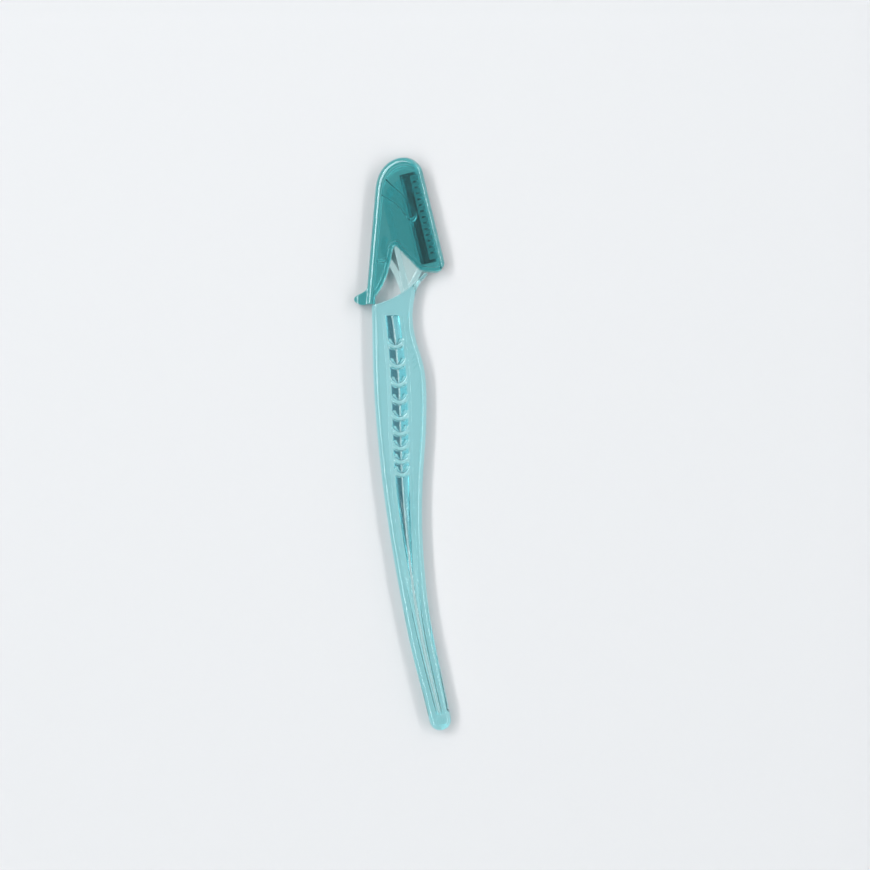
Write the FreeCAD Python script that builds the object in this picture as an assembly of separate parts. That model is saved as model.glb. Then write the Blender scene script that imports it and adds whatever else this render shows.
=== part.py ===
import FreeCAD, Part
import math
import os
from FreeCAD import Placement, Rotation, Vector

# Eyebrow razor lying flat, in millimetres and degrees: +Y towards the head, +X towards the blade, +Z up.
# It is modelled about the middle of its thickness and set down on its lowest face at the end.

# Handle
handle_length = 111.8         # tail tip to the low end of the shoulder
grip_width = 13.6             # across the grip, the scale of the handle's outline
body_thickness = 5.2          # handle and cap, face to face
tail_radius = 2.85
tail_tilt = 13.0
handle_edge_round = 1.3
groove_depth = 1.8            # on each face
rib_count = 9
rib_pitch = 5.15              # between the two ribs nearest the head
rib_sweep_radius = 2.2        # of each rib's curve across the groove
rib_tube_radius = 0.75
rib_sink = 1.15               # middle of a rib below the face

# Head plate and spring finger
blade_tilt = 12.0
heel_rise = 2.4               # blade's lower end above the tip of the shoulder
plate_width = 6.55
plate_rim = 1.3               # raised border all round
plate_heel = 0.6              # plate below the blade's lower end
root_depth = 7.0              # how far the plate runs down into the handle
finger_height = 14.3
finger_sway = 5.2
finger_width = 1.55
finger_thickness = 1.9
finger_root = 1.6             # how far the finger runs down into the handle

# Blade and guard
blade_length = 24.3
blade_thickness = 0.25
blade_seat = 0.7              # width of blade inside the plate
blade_bare = 1.87             # width of blade between plate and guard
blade_bevel = 0.7
guard_width = 2.1
guard_sheet = 0.15
guard_margin = 0.8            # blade beyond each end of the guard
guard_hem = 0.55              # unslotted strip along the guard's inner edge
guard_slot_pitch = 1.6
guard_slot_width = 0.55
steel_play = 0.02             # blade in its slot, guard on the blade
edge_gap = 0.1                # cutting edge to the inside of the guard's fold

# Cap
cap_clearance = 0.3           # beside the guard and over the plate's faces
cap_back_gap = 0.6            # between the plate's back corner and the cap
seat_gap = 0.35               # cap's mouth above the shoulder
cap_back_wall = 1.7
cap_blade_wall = 1.2
cap_crown_wall = 2.1
cap_face_wall = 0.7
cap_back_tilt = 6.4
cap_corner_radius = 2.4
cap_edge_round = 1.2
crown_room = 2.3              # free space over the top of the blade
pad_height = 0.4              # tongue, bars and mouth bead on the inside of each face
mouth_bead = 1.1
notch_radius = 0.6
ring_radius = 1.1             # of the pad around the top of the notch
lip_reach = 3.1
lip_height = 5.0
lip_thickness = 4.4
lip_end_round = 1.3
bar_length = 3.6
bar_width = 0.7

overrun = 2.0                 # how far cutting shapes run past what they cut
face_match = 0.01             # how near to a face an edge counts as lying on it

half_body = body_thickness / 2
half_cavity = half_body - cap_face_wall
half_pad = half_cavity - pad_height
half_rim = half_pad - cap_clearance
plate_web_share = 0.55
half_web = half_rim * plate_web_share


def curve(points, first=None, last=None):
    spline = Part.BSplineCurve()
    if first is None:
        spline.interpolate(Points=points)
    else:
        spline.interpolate(Points=points, InitialTangent=first, FinalTangent=last)
    return spline.toShape()


def line(start, end):
    return Part.LineSegment(start, end).toShape()


def arc(start, middle, end):
    return Part.Arc(start, middle, end).toShape()


def slab(edges, low, high):
    face = Part.Face(Part.Wire(edges))
    face.translate(Vector(0, 0, low))
    return face.extrude(Vector(0, 0, high - low))


def outline(points):
    return [line(start, end) for start, end in zip(points, points[1:] + points[:1])]


def both_faces(solid):
    return [solid, solid.mirror(Vector(0, 0, 0), Vector(0, 0, 1))]


def face_edges(solid):
    # edges that lie in the upper or the lower face
    return [edge for edge in solid.Edges if abs(abs(edge.CenterOfMass.z) - half_body) < face_match]


def direction(angle):
    # unit vector that leans from +Y towards +X by the angle
    return Vector(math.sin(math.radians(angle)), math.cos(math.radians(angle)), 0)


# Handle outline: shares of handle_length along and of grip_width across, from the tail to the shoulder
back_edge_shares = [(0.0966, 0.272), (0.1905, 0.096), (0.3077, -0.074), (0.4016, -0.191), (0.5304, -0.327),
                    (0.697, -0.445), (0.8475, -0.492), (1.0, -0.482)]
blade_edge_shares = [(0.0868, 0.733), (0.176, 0.598), (0.2585, 0.485), (0.392, 0.390), (0.4875, 0.374),
                     (0.604, 0.419), (0.680, 0.480), (0.778, 0.524), (0.857, 0.482), (0.909, 0.367),
                     (0.965, 0.299), (1.0027, 0.324), (1.033, 0.392), (1.0555, 0.5015), (1.067, 0.608)]
shoulder_middle_share = (1.034, 0.193)
shoulder_top_share = (1.0716, 0.540)
shoulder_tip_share = (1.0725, 0.588)
tail_across_share = 0.6150

# Groove: shares of handle_length along, of grip_width for its middle and its half width, and of its width
# at the face for its floor
groove_shares = [(0.0450, 0.594, 0.062, 0.42), (0.0966, 0.502, 0.069, 0.42), (0.1905, 0.344, 0.082, 0.38),
                 (0.3077, 0.187, 0.108, 0.28), (0.4025, 0.107, 0.150, 0.14), (0.532, 0.030, 0.195, 0.06),
                 (0.620, 0.006, 0.214, 0.05), (0.698, 0.002, 0.222, 0.05), (0.778, 0.004, 0.224, 0.05),
                 (0.850, -0.012, 0.222, 0.05), (0.976, -0.098, 0.208, 0.05)]
groove_end_share = 0.4        # rise of the groove's flat end at the head over its half width
first_rib_share = 0.9015      # along the handle
rib_pitch_share = 0.94        # of each pitch to the one before


def handle_point(share):
    return Vector(share[1] * grip_width, share[0] * handle_length, 0)


shoulder_low = handle_point(back_edge_shares[-1])
shoulder_top = handle_point(shoulder_top_share)
heel = shoulder_top + Vector(0, heel_rise, 0)
head_place = Placement(heel, Rotation(Vector(0, 0, 1), blade_tilt))


def head_point(along, across):
    # along the blade from its lower end, and across it from the plate's edge towards the cutting edge
    return head_place.multVec(Vector(across, along, 0))


def handle_body():
    lean = direction(-tail_tilt)
    side = Vector(lean.y, -lean.x, 0)
    centre = Vector(tail_across_share * grip_width, tail_radius, 0)
    tail_back = centre - side * tail_radius
    tail_blade = centre + side * tail_radius
    tail_tip = centre - lean * tail_radius
    back = [tail_back] + [handle_point(share) for share in back_edge_shares]
    blade = [tail_blade] + [handle_point(share) for share in blade_edge_shares]
    back_edge = curve(back, lean, Vector(0, 1, 0))
    blade_edge = curve(blade, lean, blade[-1] - blade[-2])
    edges = [back_edge,
             arc(back[-1], handle_point(shoulder_middle_share), shoulder_top),
             arc(shoulder_top, handle_point(shoulder_tip_share), blade[-1]),
             blade_edge,
             arc(tail_blade, tail_tip, tail_back)]
    body = slab(edges, -half_body, half_body)
    rounded = [edge for edge in face_edges(body)
               if edge.CenterOfMass.y < shoulder_low.y and edge.Length > tail_radius]
    return body.makeFillet(handle_edge_round, rounded)


def groove_wire(height):
    # the groove narrows evenly from the face down to its floor
    depth_share = (half_body - height) / groove_depth
    low = []
    high = []
    for along, middle, half, floor in groove_shares:
        reach = half * (1 - depth_share * (1 - floor))
        low.append(Vector((middle - reach) * grip_width, along * handle_length, height))
        high.append(Vector((middle + reach) * grip_width, along * handle_length, height))
    tail_half = (high[0] - low[0]).Length / 2
    head_rise = (high[-1] - low[-1]).Length / 2 * groove_end_share
    tail_end = (low[0] + high[0]) / 2 - Vector(0, tail_half, 0)
    head_end = (low[-1] + high[-1]) / 2 + Vector(0, head_rise, 0)
    return Part.Wire([curve(low), arc(low[-1], head_end, high[-1]), curve(high[::-1]),
                      arc(high[0], tail_end, low[0])])


def groove():
    floor = groove_wire(half_body - groove_depth)
    mouth = groove_wire(half_body + overrun)
    return Part.makeLoft([floor, mouth], True, True)


def groove_middle(along):
    # the groove's middle line, by straight steps between its stations
    for (low, low_middle, *_), (high, high_middle, *_) in zip(groove_shares, groove_shares[1:]):
        if low <= along <= high:
            return low_middle + (high_middle - low_middle) * (along - low) / (high - low)
    return groove_shares[-1][1]


def grip_ribs():
    groove_prism = Part.Face(groove_wire(half_body)).extrude(Vector(0, 0, -half_body))
    ribs = []
    station = first_rib_share * handle_length
    for number in range(rib_count):
        middle = groove_middle(station / handle_length) * grip_width
        centre = Vector(middle, station + rib_sweep_radius, half_body - rib_sink)
        ring = Part.makeTorus(rib_sweep_radius, rib_tube_radius)
        reach = rib_sweep_radius + overrun
        below = Part.makeBox(2 * reach, reach, overrun, Vector(-reach, -reach, -overrun / 2))
        rib = ring.common(below)
        rib.translate(centre)
        ribs += both_faces(rib.common(groove_prism))
        station -= rib_pitch * rib_pitch_share ** number
    return ribs


# Head plate outline: shares of blade_length along and of plate_width across
plate_top_shares = [(0.75, -1.0), (0.88, -0.70), (0.96, -0.14), (0.985, 0.0)]
root_share = (0.75, -0.6)     # inner corner of the root, shares of root_depth and plate_width


def head_plate():
    top = [(along * blade_length, across * plate_width) for along, across in plate_top_shares]
    foot = [(-plate_heel, 0), (-root_share[0] * root_depth, root_share[1] * plate_width),
            (-root_depth, -plate_width)]
    edges = outline([Vector(across, along, 0) for along, across in top + foot])
    plate = slab(edges, -half_rim, half_rim)
    pocket = slab(Part.Wire(edges).makeOffset2D(-plate_rim, 2).Edges, half_web, half_rim + overrun)
    slot = Part.makeBox(blade_seat + steel_play + overrun, blade_length + steel_play + overrun,
                        blade_thickness + 2 * steel_play,
                        Vector(-blade_seat - steel_play, -steel_play, -blade_thickness / 2 - steel_play))
    return plate.cut(both_faces(pocket)), slot


# Spring finger's middle line: shares of finger_height up and of finger_sway towards the back, from its root
finger_shares = [(0.0, 0.0), (0.27, 0.26), (0.45, 0.50), (0.62, 0.76), (0.79, 0.94), (0.95, 0.84)]
finger_root_share = (1.0335, 0.134)


def spring_finger():
    root = handle_point(finger_root_share)
    middle = [root + Vector(-sway * finger_sway, up * finger_height, 0) for up, sway in finger_shares]
    middle.insert(0, middle[0] - (middle[1] - middle[0]).normalize() * finger_root)
    line_curve = Part.BSplineCurve()
    line_curve.interpolate(Points=middle)
    back = []
    front = []
    for point in middle:
        along = Vector(line_curve.tangent(line_curve.parameter(point))[0])
        side = Vector(along.y, -along.x, 0) * (finger_width / 2)
        back.append(point - side)
        front.append(point + side)
    tip = middle[-1] + along * (finger_width / 2)
    edges = [curve(back), arc(back[-1], tip, front[-1]), curve(front[::-1]), line(front[0], back[0])]
    return slab(edges, -finger_thickness / 2, finger_thickness / 2)


def handle():
    body = handle_body().cut(both_faces(groove()))
    plate, slot = head_plate()
    plate.Placement = head_place
    slot.Placement = head_place
    whole = body.fuse([plate, spring_finger()] + grip_ribs())
    return whole.cut(slot).removeSplitter()


guard_inner = blade_bare
guard_outer = blade_bare + guard_width


def blade():
    edge = guard_outer - guard_sheet - edge_gap
    half = blade_thickness / 2
    section = [Vector(-blade_seat, 0, -half), Vector(edge - blade_bevel, 0, -half), Vector(edge, 0, 0),
               Vector(edge - blade_bevel, 0, half), Vector(-blade_seat, 0, half)]
    strip = Part.Face(Part.Wire(outline(section))).extrude(Vector(0, blade_length, 0))
    strip.Placement = head_place
    return strip


def folded_strip(half, start, length):
    # strip from the guard's inner edge, closed by a round fold of the given half thickness
    fold = guard_outer - guard_sheet - blade_thickness / 2 - steel_play
    flat = Part.makeBox(fold - start, length, 2 * half, Vector(start, 0, -half))
    return flat.fuse(Part.makeCylinder(half, length, Vector(fold, 0, 0), Vector(0, 1, 0)))


def blade_guard():
    length = blade_length - 2 * guard_margin
    inner_half = blade_thickness / 2 + steel_play
    strip = folded_strip(inner_half + guard_sheet, guard_inner, length)
    inside = folded_strip(inner_half, guard_inner - overrun, length)
    count = int((length - 2 * guard_hem) / guard_slot_pitch)
    first = (length - (count - 1) * guard_slot_pitch - guard_slot_width) / 2
    slots = [Part.makeBox(guard_width + overrun, guard_slot_width, body_thickness,
                          Vector(guard_inner + guard_hem, first + number * guard_slot_pitch, -half_body))
             for number in range(count)]
    guard = strip.cut(inside).cut(slots).removeSplitter()
    guard.translate(Vector(0, guard_margin, 0))
    guard.Placement = head_place.multiply(guard.Placement)
    return guard


# Cap: its walls stand off the head by the clearance, and its crown stands over the top of the blade
back_lean = direction(cap_back_tilt)
blade_lean = direction(-blade_tilt)
back_corner = head_point(plate_top_shares[0][0] * blade_length, -plate_width)
crown_inside = head_point(blade_length, 0).y + crown_room
foot_height = shoulder_low.y + seat_gap
rim_height = shoulder_top.y + seat_gap
notch_apex_share = (0.242, -0.94)   # of blade_length and plate_width, on the head
notch_apex = head_point(notch_apex_share[0] * blade_length, notch_apex_share[1] * plate_width)

# Crown: shares of the width between the walls, and of the rise from the back wall's top to the crown
# with the top of the blade wall last, once for the outside and once for the cavity
crown_shares = [(0.135, 0.675), (0.30, 0.885), (0.45, 0.972), (0.619, 1.0), (0.80, 0.945),
                (0.92, 0.826), (1.0, 0.62)]
cavity_shares = [(0.117, 0.598), (0.255, 0.823), (0.441, 0.961), (0.627, 1.0), (0.803, 0.974),
                 (0.925, 0.897), (1.0, 0.73)]

# Mouth: shares of its width from the back foot to the corner, and of its height up to the notch's top
notch_back_shares = [(0.143, 0.14), (0.281, 0.42), (0.356, 0.713)]
notch_blade_shares = [(0.714, 0.68), (0.781, 0.60), (0.876, 0.565)]
bar_share = (0.183, 0.755)

# Lip: shares of lip_reach out from the back foot and of lip_height up
lip_shares = [(-0.25, 1.0), (0.21, 0.63), (0.80, 0.44), (1.0, 0.29), (0.80, 0.09), (0.25, -0.04),
              (-0.25, 0.02)]

# Tongue: shares of blade_length along and of plate_width across, on the head
tongue_blade_shares = [(1.05, -0.80), (0.974, -0.656), (0.772, -0.165), (0.675, 0.005), (0.539, 0.14)]
tongue_tip_share = (0.495, 0.02)
tongue_back_shares = [(0.524, -0.197), (0.642, -0.388), (0.732, -0.605), (0.813, -0.908), (0.90, -1.15)]


def beside_blade(across, height):
    # point at the given height on a line that runs along the blade
    start = head_point(0, across)
    return start + blade_lean * ((height - start.y) / blade_lean.y)


def along_back(wall, height):
    # point at the given height on the back wall, the given thickness outside the cavity
    top = back_corner - Vector(cap_back_gap + wall, 0, 0)
    return top + back_lean * ((height - top.y) / back_lean.y)


def cap_form(shares, back_wall, blade_wall, crown_wall, half, bottom):
    # solid between the two walls, the crown and a straight bottom
    rise = crown_inside + crown_wall - back_corner.y
    across = guard_outer + cap_clearance + blade_wall
    back_top = along_back(back_wall, back_corner.y)
    blade_top = beside_blade(across, back_top.y + shares[-1][1] * rise)
    width = blade_top.x - back_top.x
    crown = [back_top + Vector(share * width, up * rise, 0) for share, up in shares]
    back_foot = along_back(back_wall, bottom)
    blade_foot = beside_blade(across, bottom)
    edges = [line(back_foot, back_top), curve([back_top] + crown, back_lean, blade_lean * -1),
             line(crown[-1], blade_foot), line(blade_foot, back_foot)]
    return slab(edges, -half, half)


def rounded_shell():
    shell = cap_form(crown_shares, cap_back_wall, cap_blade_wall, cap_crown_wall, half_body, foot_height)
    rounded = [edge for edge in face_edges(shell) if edge.CenterOfMass.y > rim_height]
    return shell.makeFillet(cap_edge_round, rounded)


def mouth_edges():
    # everything below the cap's mouth: the notch, the rim under the blade and the round corner
    back_foot = along_back(cap_back_wall, foot_height)
    corner = beside_blade(guard_outer + cap_clearance + cap_blade_wall, rim_height)
    setback = cap_corner_radius * math.tan(math.radians(90 + blade_tilt) / 2)
    wall_end = corner + blade_lean * setback
    rim_end = corner - Vector(setback, 0, 0)
    centre = rim_end + Vector(0, cap_corner_radius, 0)
    corner_middle = centre + (corner - centre).normalize() * cap_corner_radius
    width = rim_end.x - back_foot.x
    height = notch_apex.y - foot_height

    def place(share):
        return back_foot + Vector(share[0] * width, share[1] * height, 0)

    back = [place(share) for share in notch_back_shares]
    blade = [place(share) for share in notch_blade_shares]
    back_side = notch_apex - Vector(notch_radius, 0, 0)
    blade_side = notch_apex + Vector(notch_radius, 0, 0)
    apex = notch_apex + Vector(0, notch_radius, 0)
    below = foot_height - 2 * overrun
    outside = Vector(beside_blade(guard_outer, below).x + 2 * overrun, wall_end.y, 0)
    back_end = Vector(back[0].x - overrun / 4, below, 0)
    below_corner = Vector(outside.x, below, 0)
    edges = [line(back_end, back[0]), arc(back[0], back[1], back[2]), line(back[2], back_side),
             arc(back_side, apex, blade_side), line(blade_side, blade[0]), arc(blade[0], blade[1], blade[2]),
             line(blade[2], rim_end), arc(rim_end, corner_middle, wall_end), line(wall_end, outside),
             line(outside, below_corner), line(below_corner, back_end)]
    return edges, place(bar_share)


def thumb_lip():
    # plan of the lip, with the corners of its free end rounded off as seen along the handle
    back_foot = along_back(cap_back_wall, foot_height)
    points = [back_foot + Vector(-out * lip_reach, up * lip_height, 0) for out, up in lip_shares]
    half = lip_thickness / 2
    plan = slab([curve(points), line(points[-1], points[0])], -half, half)
    tip = back_foot - Vector(lip_reach, lip_height, 0)
    length = lip_reach + cap_back_wall
    end = Part.makeBox(length, 3 * lip_height, lip_thickness, tip - Vector(0, 0, half))
    corners = [edge for edge in end.Edges
               if edge.CenterOfMass.x < tip.x + face_match and edge.Length > lip_thickness + face_match]
    return plan.common(end.makeFillet(lip_end_round, corners))


def tongue():
    blade = [head_point(along * blade_length, across * plate_width) for along, across in tongue_blade_shares]
    back = [head_point(along * blade_length, across * plate_width) for along, across in tongue_back_shares]
    tip = head_point(tongue_tip_share[0] * blade_length, tongue_tip_share[1] * plate_width)
    return [curve(blade), arc(blade[-1], tip, back[0]), curve(back), line(back[-1], blade[0])]


def face_pads(cavity):
    # raised on the inside of each face: tongue, bar, notch ring and mouth bead
    edges, bar_end = mouth_edges()
    bead = Part.Wire(Part.Wire(edges).makeOffset2D(mouth_bead).Edges)
    bar = outline([bar_end, bar_end + Vector(bar_length, 0, 0), bar_end + Vector(bar_length, bar_width, 0),
                   bar_end + Vector(0, bar_width, 0)])
    ring = [Part.Circle(notch_apex, Vector(0, 0, 1), ring_radius).toShape()]
    top = half_cavity + cap_face_wall / 2
    pads = []
    for shape in (tongue(), bar, ring, bead.Edges):
        pads += both_faces(slab(shape, half_pad, top).common(cavity))
    return pads


def cap():
    edges, _ = mouth_edges()
    mouth = slab(edges, -half_body - overrun, half_body + overrun)
    cavity = cap_form(cavity_shares, 0, 0, 0, half_cavity, foot_height - overrun)
    pad_limit = cap_form(cavity_shares, 0, 0, 0, half_body, foot_height)
    shell = rounded_shell().fuse(thumb_lip()).cut(cavity)
    return shell.fuse(face_pads(pad_limit)).cut(mouth).removeSplitter()


def set_down(nodes):
    # origin under the middle of the whole razor, on the plane that it rests on
    box = Part.makeCompound(list(nodes.values())).optimalBoundingBox(False, False)
    for solid in nodes.values():
        solid.translate(Vector(-(box.XMin + box.XMax) / 2, -(box.YMin + box.YMax) / 2, -box.ZMin))


nodes = {"handle": handle(), "blade": blade(), "blade_guard": blade_guard(), "cap": cap()}
set_down(nodes)
os.makedirs("parts", exist_ok=True)
for name, solid in nodes.items():
    solid.exportStep("parts/" + name + ".step")
    box = solid.optimalBoundingBox(False, False)
    print(name, solid.isValid(), len(solid.Solids), round(solid.Volume, 2), box)
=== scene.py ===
import math

import bmesh
import bpy
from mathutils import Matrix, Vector
from mathutils.kdtree import KDTree


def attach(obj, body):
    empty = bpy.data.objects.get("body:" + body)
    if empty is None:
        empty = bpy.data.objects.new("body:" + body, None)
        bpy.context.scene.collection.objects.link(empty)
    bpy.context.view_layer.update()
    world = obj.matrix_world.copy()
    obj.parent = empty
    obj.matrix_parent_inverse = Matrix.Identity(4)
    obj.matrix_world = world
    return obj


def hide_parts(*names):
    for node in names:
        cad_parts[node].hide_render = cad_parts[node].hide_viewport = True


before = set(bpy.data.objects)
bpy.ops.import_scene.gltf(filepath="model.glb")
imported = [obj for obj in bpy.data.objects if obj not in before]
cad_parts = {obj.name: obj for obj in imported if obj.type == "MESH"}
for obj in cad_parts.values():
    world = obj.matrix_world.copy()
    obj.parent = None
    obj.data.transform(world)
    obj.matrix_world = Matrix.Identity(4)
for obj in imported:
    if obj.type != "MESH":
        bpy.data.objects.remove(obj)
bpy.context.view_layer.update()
mm = 0.001
scene = bpy.context.scene
print("frame loaded:", ", ".join(sorted(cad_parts)))

# camera straight above the razor
cameraSetup = {
    "pixelsPerMm": 3.81,
    "imageSide": 870,
    "lens": 100.0,
    "sensor": 36.0,
    "originPixel": (403.7, 444.5),  # where the razor's origin falls in the picture
    "roll": 1.6,                    # degrees that the head leans to the left
    "middleHeight": 2.6 * mm,
}


def makeCamera(look):
    data = bpy.data.cameras.new("topCamera")
    data.lens = look["lens"]
    data.sensor_width = look["sensor"]
    camera = bpy.data.objects.new("topCamera", data)
    scene.collection.objects.link(camera)
    half = look["imageSide"] / 2
    scale = mm / look["pixelsPerMm"]
    across = (look["originPixel"][0] - half) * scale
    up = (half - look["originPixel"][1]) * scale
    turn = math.radians(look["roll"])
    rightWay = Vector((math.cos(turn), -math.sin(turn), 0))
    upWay = Vector((math.sin(turn), math.cos(turn), 0))
    distance = look["imageSide"] * scale * look["lens"] / look["sensor"]
    camera.location = -rightWay * across - upWay * up + Vector((0, 0, look["middleHeight"] + distance))
    camera.rotation_euler = (0, 0, -turn)
    scene.camera = camera
    return camera


camera = makeCamera(cameraSetup)
print("camera at", [round(v, 4) for v in camera.location])

# pale floor under a soft studio sky: dim near the floor, dim and cool on the left, dim where the camera
# stands, with a long soft strip of light on each side of the razor and one large key lamp
stageSetup = {
    "floorSide": 3.0,
    "floorColour": (0.67, 0.67, 0.68),
    "floorGlow": 0.90,          # brightness of the floor seen through the plastic
    "floorGlowShare": 0.65,
    "floorRough": 0.9,
    "floorShine": 0.1,
    "heightLevels": [(0.0, 0.20), (0.20, 0.28), (0.45, 0.45), (0.65, 0.62), (0.90, 0.60), (0.975, 0.18),
                     (1.0, 0.14)],
    "sideColours": [(0.0, (0.16, 0.42, 0.50)), (0.08, (0.20, 0.50, 0.60)), (0.22, (0.62, 0.66, 0.68)),
                    (0.40, (0.84, 0.85, 0.86)), (0.60, (0.98, 0.99, 1.0)), (0.92, (1.5, 1.55, 1.6)),
                    (1.0, (1.9, 2.0, 2.1))],
    "stripLevels": [(0.19, 0.0), (0.235, 13.0), (0.28, 0.0), (0.75, 0.0), (0.785, 10.5), (0.82, 0.0)],
    "stripEnds": [(0.0, 1.0), (0.45, 1.0), (0.60, 0.0)],
    "stripThrough": 0.15,       # share of the strips seen through the plastic
    "keyPlace": (-0.25, 0.35, 0.90),
    "keySide": 0.50,
    "keyRadiance": 3.4,
    "bounces": 40,              # enough for light to leave the cap and the head inside it
}


def colourRamp(nodes, entries):
    ramp = nodes.new("ShaderNodeValToRGB")
    stops = ramp.color_ramp.elements
    stops.remove(stops[1])
    stops[0].position = entries[0][0]
    for place, _ in entries[1:]:
        stops.new(place)
    for stop, (_, colour) in zip(stops, entries):
        stop.color = (*colour, 1) if isinstance(colour, tuple) else (colour, colour, colour, 1)
    return ramp


def makeFloor(look):
    mesh = bpy.data.meshes.new("floor")
    bm = bmesh.new()
    bmesh.ops.create_grid(bm, x_segments=2, y_segments=2, size=look["floorSide"] / 2)
    bm.to_mesh(mesh)
    bm.free()
    floor = bpy.data.objects.new("floor", mesh)
    scene.collection.objects.link(floor)
    material = bpy.data.materials.new("paleFloor")
    material.use_nodes = True
    nodes = material.node_tree.nodes
    links = material.node_tree.links
    shader = nodes["Principled BSDF"]
    shader.inputs["Base Color"].default_value = (*look["floorColour"], 1)
    shader.inputs["Roughness"].default_value = look["floorRough"]
    shader.inputs["Specular IOR Level"].default_value = look["floorShine"]
    glow = nodes.new("ShaderNodeEmission")
    glow.inputs["Color"].default_value = (1, 1, 1, 1)
    glow.inputs["Strength"].default_value = look["floorGlow"]
    path = nodes.new("ShaderNodeLightPath")
    share = nodes.new("ShaderNodeMath")
    share.operation = "MULTIPLY"
    share.inputs[1].default_value = look["floorGlowShare"]
    links.new(path.outputs["Is Transmission Ray"], share.inputs[0])
    blend = nodes.new("ShaderNodeMixShader")
    links.new(share.outputs["Value"], blend.inputs["Fac"])
    links.new(shader.outputs["BSDF"], blend.inputs[1])
    links.new(glow.outputs["Emission"], blend.inputs[2])
    links.new(blend.outputs["Shader"], nodes["Material Output"].inputs["Surface"])
    mesh.materials.append(material)


def makeSky(look):
    world = bpy.data.worlds.new("studio")
    world.use_nodes = True
    nodes = world.node_tree.nodes
    links = world.node_tree.links
    way = nodes.new("ShaderNodeTexCoord")
    split = nodes.new("ShaderNodeSeparateXYZ")
    links.new(way.outputs["Generated"], split.inputs["Vector"])
    height = colourRamp(nodes, look["heightLevels"])
    links.new(split.outputs["Z"], height.inputs["Fac"])
    # the same along the whole razor: 0 at the left, 0.5 overhead, 1 at the right
    flat = nodes.new("ShaderNodeCombineXYZ")
    links.new(split.outputs["X"], flat.inputs["X"])
    links.new(split.outputs["Z"], flat.inputs["Z"])
    unit = nodes.new("ShaderNodeVectorMath")
    unit.operation = "NORMALIZE"
    links.new(flat.outputs["Vector"], unit.inputs[0])
    across = nodes.new("ShaderNodeSeparateXYZ")
    links.new(unit.outputs["Vector"], across.inputs["Vector"])
    side = nodes.new("ShaderNodeMapRange")
    side.inputs["From Min"].default_value = -1
    links.new(across.outputs["X"], side.inputs["Value"])
    sides = colourRamp(nodes, look["sideColours"])
    links.new(side.outputs["Result"], sides.inputs["Fac"])
    bands = colourRamp(nodes, look["stripLevels"])
    bands.color_ramp.interpolation = "EASE"
    links.new(side.outputs["Result"], bands.inputs["Fac"])
    along = nodes.new("ShaderNodeMath")
    along.operation = "ABSOLUTE"
    links.new(split.outputs["Y"], along.inputs[0])
    ends = colourRamp(nodes, look["stripEnds"])
    links.new(along.outputs["Value"], ends.inputs["Fac"])
    lit = nodes.new("ShaderNodeVectorMath")
    lit.operation = "MULTIPLY"
    links.new(bands.outputs["Color"], lit.inputs[0])
    links.new(ends.outputs["Color"], lit.inputs[1])
    path = nodes.new("ShaderNodeLightPath")
    share = nodes.new("ShaderNodeMapRange")
    share.inputs["To Min"].default_value = 1
    share.inputs["To Max"].default_value = look["stripThrough"]
    links.new(path.outputs["Is Transmission Ray"], share.inputs["Value"])
    seen = nodes.new("ShaderNodeVectorMath")
    seen.operation = "SCALE"
    links.new(lit.outputs["Vector"], seen.inputs[0])
    links.new(share.outputs["Result"], seen.inputs["Scale"])
    total = nodes.new("ShaderNodeVectorMath")
    total.operation = "MULTIPLY_ADD"
    links.new(height.outputs["Color"], total.inputs[0])
    links.new(sides.outputs["Color"], total.inputs[1])
    links.new(seen.outputs["Vector"], total.inputs[2])
    links.new(total.outputs["Vector"], nodes["Background"].inputs["Color"])
    scene.world = world


def makeKeyLamp(look):
    data = bpy.data.lights.new("keyLamp", "AREA")
    data.shape = "SQUARE"
    data.size = look["keySide"]
    data.energy = look["keyRadiance"] * math.pi * look["keySide"] ** 2
    lamp = bpy.data.objects.new("keyLamp", data)
    lamp.location = look["keyPlace"]
    lamp.rotation_mode = "QUATERNION"
    lamp.rotation_quaternion = (-Vector(look["keyPlace"])).to_track_quat("-Z", "Y")
    scene.collection.objects.link(lamp)


makeFloor(stageSetup)
makeSky(stageSetup)
makeKeyLamp(stageSetup)
scene.view_settings.view_transform = "Standard"
scene.cycles.max_bounces = stageSetup["bounces"]
scene.cycles.transmission_bounces = stageSetup["bounces"]
print("floor and light made")

# tinted clear plastic: the tint deepens with the thickness, the skin has faint flow marks from moulding;
# left is the colour that thick plastic lets through, and density how soon the rest is lost
plasticLooks = {
    "handle": {
        "ior": 1.58, "clear": 0.99, "tint": (0.91, 0.99, 0.985), "tintStreak": (0.86, 0.975, 0.975),
        "left": (0.0, 0.86, 0.93), "density": 145.0, "gloss": 0.20, "glossIor": 1.6,
        "roughLow": 0.07, "roughHigh": 0.14,
        "streakStretch": (90.0, 18.0, 90.0), "streakDetail": 4.0,
        "skinScale": 650.0, "skinDetail": 2.0, "skinBump": 0.06, "skinDepth": 0.02 * mm,
    },
    "cap": {
        "ior": 1.58, "clear": 0.985, "tint": (0.30, 0.74, 0.76), "tintStreak": (0.25, 0.71, 0.73),
        "left": (0.08, 0.78, 0.80), "density": 260.0, "gloss": 0.9, "glossIor": 1.7,
        "roughLow": 0.02, "roughHigh": 0.06,
        "streakStretch": (70.0, 25.0, 70.0), "streakDetail": 4.0,
        "skinScale": 500.0, "skinDetail": 2.0, "skinBump": 0.05, "skinDepth": 0.02 * mm,
    },
}
noiseSpan = (0.3, 0.7)  # the noise stays mostly between these


def stretchedNoise(nodes, links, place, stretch, detail):
    mapping = nodes.new("ShaderNodeMapping")
    mapping.inputs["Scale"].default_value = stretch
    links.new(place, mapping.inputs["Vector"])
    noise = nodes.new("ShaderNodeTexNoise")
    noise.inputs["Scale"].default_value = 1.0
    noise.inputs["Detail"].default_value = detail
    links.new(mapping.outputs["Vector"], noise.inputs["Vector"])
    return noise


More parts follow.
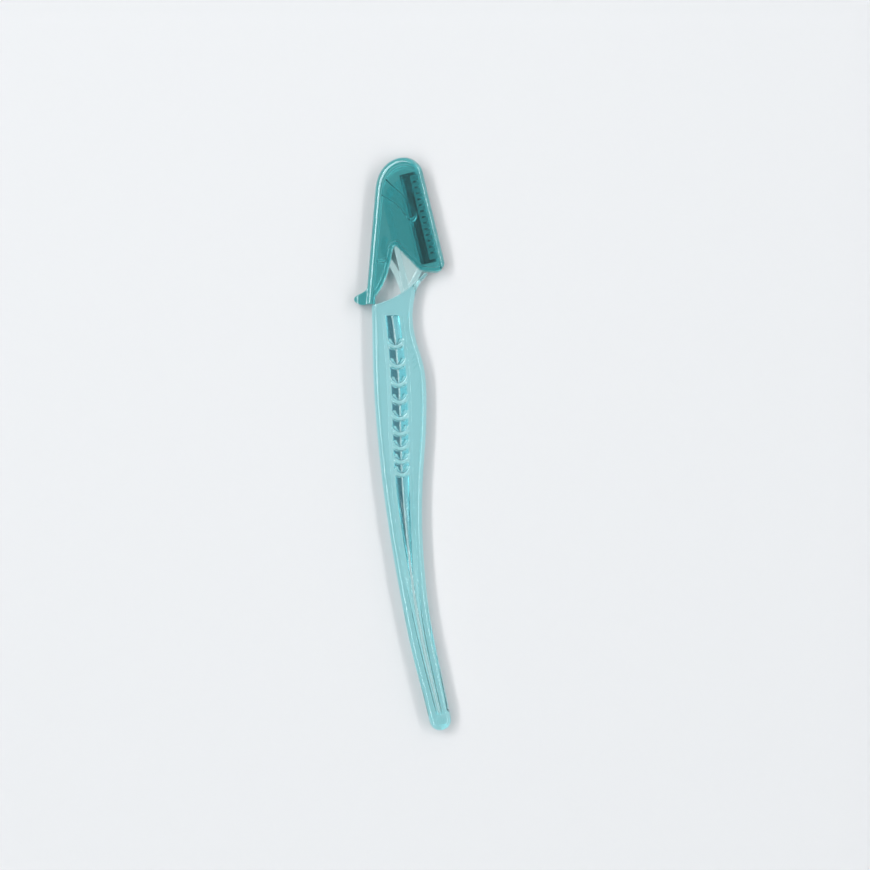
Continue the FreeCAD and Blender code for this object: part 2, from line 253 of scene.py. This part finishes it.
def noiseColour(nodes, links, noise, first, second):
    colour = nodes.new("ShaderNodeMix")
    colour.data_type = "RGBA"
    colour.inputs["A"].default_value = (*first, 1)
    colour.inputs["B"].default_value = (*second, 1)
    links.new(noise.outputs["Fac"], colour.inputs["Factor"])
    return colour


def unevenGloss(nodes, links, noise, look):
    rough = nodes.new("ShaderNodeMapRange")
    rough.inputs["From Min"].default_value = noiseSpan[0]
    rough.inputs["From Max"].default_value = noiseSpan[1]
    rough.inputs["To Min"].default_value = look["roughLow"]
    rough.inputs["To Max"].default_value = look["roughHigh"]
    links.new(noise.outputs["Fac"], rough.inputs["Value"])
    links.new(rough.outputs["Result"], nodes["Principled BSDF"].inputs["Roughness"])


def fineRelief(nodes, links, noise, strength, depth):
    bump = nodes.new("ShaderNodeBump")
    bump.inputs["Strength"].default_value = strength
    bump.inputs["Distance"].default_value = depth
    links.new(noise.outputs["Fac"], bump.inputs["Height"])
    links.new(bump.outputs["Normal"], nodes["Principled BSDF"].inputs["Normal"])


def tintedPlastic(name, look):
    material = bpy.data.materials.new(name)
    material.use_nodes = True
    nodes = material.node_tree.nodes
    links = material.node_tree.links
    coords = nodes.new("ShaderNodeTexCoord")
    shader = nodes["Principled BSDF"]
    shader.inputs["IOR"].default_value = look["ior"]
    shader.inputs["Transmission Weight"].default_value = look["clear"]
    shader.inputs["Coat Weight"].default_value = look["gloss"]
    shader.inputs["Coat IOR"].default_value = look["glossIor"]
    place = coords.outputs["Object"]
    streaks = stretchedNoise(nodes, links, place, look["streakStretch"], look["streakDetail"])
    tint = noiseColour(nodes, links, streaks, look["tint"], look["tintStreak"])
    links.new(tint.outputs["Result"], shader.inputs["Base Color"])
    unevenGloss(nodes, links, streaks, look)
    skin = stretchedNoise(nodes, links, place, (look["skinScale"],) * 3, look["skinDetail"])
    fineRelief(nodes, links, skin, look["skinBump"], look["skinDepth"])
    absorb = nodes.new("ShaderNodeVolumeAbsorption")
    absorb.inputs["Color"].default_value = (*look["left"], 1)
    absorb.inputs["Density"].default_value = look["density"]
    links.new(absorb.outputs["Volume"], nodes["Material Output"].inputs["Volume"])
    return material


# steel with fine grinding lines along the strip; the blade's ground bevel is a real band, and its
# lighter colour there is a painted sheen where the bevel would catch the light
bladeTilt = math.radians(12)
bladeAcross = Vector((math.cos(bladeTilt), math.sin(bladeTilt), 0))
cuttingEdge = max(vertex.co.dot(bladeAcross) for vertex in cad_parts["blade"].data.vertices)
steelLooks = {
    "blade": {
        "dark": (0.34, 0.35, 0.37), "light": (0.56, 0.57, 0.59), "roughLow": 0.10, "roughHigh": 0.20,
        "grain": (5200.0, 160.0, 5200.0), "grainDetail": 5.0, "bump": 0.12, "depth": 0.004 * mm,
        # the band along the cutting edge is painted lighter: a painted sheen for the ground bevel
        "bevelFrom": cuttingEdge - 0.70 * mm, "bevelSheenColour": (0.86, 0.87, 0.88),
    },
    "guard": {
        "dark": (0.72, 0.73, 0.74), "light": (0.90, 0.91, 0.92), "roughLow": 0.55, "roughHigh": 0.75,
        "grain": (2600.0, 420.0, 2600.0), "grainDetail": 5.0, "bump": 0.20, "depth": 0.006 * mm,
    },
}


def groundSteel(name, look):
    material = bpy.data.materials.new(name)
    material.use_nodes = True
    nodes = material.node_tree.nodes
    links = material.node_tree.links
    shader = nodes["Principled BSDF"]
    shader.inputs["Metallic"].default_value = 1.0
    coords = nodes.new("ShaderNodeTexCoord")
    straight = nodes.new("ShaderNodeMapping")  # y along the blade, x across it
    straight.inputs["Rotation"].default_value = (0, 0, -bladeTilt)
    links.new(coords.outputs["Object"], straight.inputs["Vector"])
    grain = stretchedNoise(nodes, links, straight.outputs["Vector"], look["grain"], look["grainDetail"])
    colour = noiseColour(nodes, links, grain, look["dark"], look["light"])
    finish = colour
    if "bevelFrom" in look:
        split = nodes.new("ShaderNodeSeparateXYZ")
        links.new(straight.outputs["Vector"], split.inputs["Vector"])
        bevelSheenBand = nodes.new("ShaderNodeMath")
        bevelSheenBand.operation = "GREATER_THAN"
        bevelSheenBand.inputs[1].default_value = look["bevelFrom"]
        links.new(split.outputs["X"], bevelSheenBand.inputs[0])
        # painted sheen: the bevel band gets a lighter colour than the rest of the steel
        finish = nodes.new("ShaderNodeMix")
        finish.data_type = "RGBA"
        finish.inputs["B"].default_value = (*look["bevelSheenColour"], 1)
        links.new(bevelSheenBand.outputs["Value"], finish.inputs["Factor"])
        links.new(colour.outputs["Result"], finish.inputs["A"])
    links.new(finish.outputs["Result"], shader.inputs["Base Color"])
    unevenGloss(nodes, links, grain, look)
    fineRelief(nodes, links, grain, look["bump"], look["depth"])
    return material


flatWeight = 70  # how far the broad faces rule the shading beside the eased edges


def addPiece(mesh, look, node):
    mesh.shade_smooth()
    mesh.materials.clear()
    mesh.materials.append(look["finish"])
    piece = bpy.data.objects.new(look["piece"], mesh)
    scene.collection.objects.link(piece)
    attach(piece, look["body"])
    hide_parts(node)
    flat = piece.modifiers.new("flatFaces", "WEIGHTED_NORMAL")
    flat.weight = flatWeight
    print(look["piece"], len(mesh.polygons), "faces")


# the two mouldings: copies of the CAD nodes with every edge eased, as polished moulds leave them;
# ease and rimEase are passes of smoothing, faces is the most triangles that are kept
mouldings = {
    "handle": {
        "piece": "handleMoulding", "body": "razor", "slot": "handle_plastic",
        "voxel": 0.08 * mm, "ease": 12, "faces": 190000,
        "rimEase": 200, "rimWidth": 1.6 * mm, "rimTop": 35 * mm, "rimFade": 3 * mm,
        "wallMiddle": (2.3 * mm, 2.9 * mm),
        "finish": tintedPlastic("handlePlastic", plasticLooks["handle"]),
    },
    "cap": {
        "piece": "capMoulding", "body": "cap", "slot": "cap_plastic",
        "voxel": 0.12 * mm, "ease": 6, "faces": 190000,
        "finish": tintedPlastic("capPlastic", plasticLooks["cap"]),
    },
}
mergeGap = 1e-6  # a CAD node's triangles are loose, so points this close become one


def mergedCopy(node):
    bm = bmesh.new()
    bm.from_mesh(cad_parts[node].data)
    bmesh.ops.remove_doubles(bm, verts=bm.verts, dist=mergeGap)
    return bm


def evaluatedMesh(block):
    graph = bpy.context.evaluated_depsgraph_get()
    return bpy.data.meshes.new_from_object(block.evaluated_get(graph))


def markRim(block, look):
    # the grip's outer wall is all there is at half its thickness, so the rim is what lies close to that
    low, high = look["wallMiddle"]
    grip = [vertex for vertex in block.data.vertices if vertex.co.y < look["rimTop"]]
    wall = [vertex.co for vertex in grip if low < vertex.co.z < high]
    tree = KDTree(len(wall))
    for count, place in enumerate(wall):
        tree.insert((place.x, place.y, 0), count)
    tree.balance()
    rim = block.vertex_groups.new(name="rim")
    for vertex in grip:
        x, y, _ = vertex.co
        if tree.find((x, y, 0))[2] < look["rimWidth"]:
            rim.add([vertex.index], min(1, (look["rimTop"] - y) / look["rimFade"]), "REPLACE")


def easedMoulding(node, look):
    bm = mergedCopy(node)
    block = bpy.data.objects.new("block", bpy.data.meshes.new("block"))
    bm.to_mesh(block.data)
    bm.free()
    scene.collection.objects.link(block)
    fine = block.modifiers.new("fine", "REMESH")
    fine.mode = "VOXEL"
    fine.voxel_size = look["voxel"]
    fineMesh = evaluatedMesh(block)
    block.modifiers.clear()
    block.data = fineMesh
    ease = block.modifiers.new("ease", "SMOOTH")
    ease.iterations = look["ease"]
    if "rimEase" in look:
        markRim(block, look)
        rim = block.modifiers.new("rim", "SMOOTH")
        rim.vertex_group = "rim"
        rim.iterations = look["rimEase"]
    thin = block.modifiers.new("thin", "DECIMATE")
    thin.ratio = min(1, look["faces"] / (2 * len(fineMesh.polygons)))
    mesh = evaluatedMesh(block)
    mesh.name = look["piece"]
    bpy.data.objects.remove(block)
    addPiece(mesh, look, node)


for node, look in mouldings.items():
    easedMoulding(node, look)

# the two strips of steel, with the edges that a press and a grinder leave
strips = {
    "blade": {
        "piece": "bladeStrip", "body": "razor", "slot": "blade_steel", "edgeBreak": 0.02 * mm,
        "finish": groundSteel("bladeSteel", steelLooks["blade"]),
    },
    "blade_guard": {
        "piece": "guardStrip", "body": "razor", "slot": "guard_steel", "edgeBreak": 0.03 * mm,
        "finish": groundSteel("guardSteel", steelLooks["guard"]),
    },
}
flatAngle = 0.0017  # radians: faces that meet at less are one flat face
sharpAngle = math.radians(25)


def brokenEdgeStrip(node, look):
    bm = mergedCopy(node)
    bmesh.ops.dissolve_limit(bm, angle_limit=flatAngle, use_dissolve_boundaries=False,
                             verts=bm.verts, edges=bm.edges, delimit=set())
    sharp = [edge for edge in bm.edges if edge.calc_face_angle(0) > sharpAngle]
    bmesh.ops.bevel(bm, geom=sharp, offset=look["edgeBreak"], offset_type="OFFSET", segments=2,
                    profile=0.5, affect="EDGES", material=-1, clamp_overlap=True, loop_slide=True)
    mesh = bpy.data.meshes.new(look["piece"])
    bm.to_mesh(mesh)
    bm.free()
    addPiece(mesh, look, node)


for node, look in strips.items():
    brokenEdgeStrip(node, look)
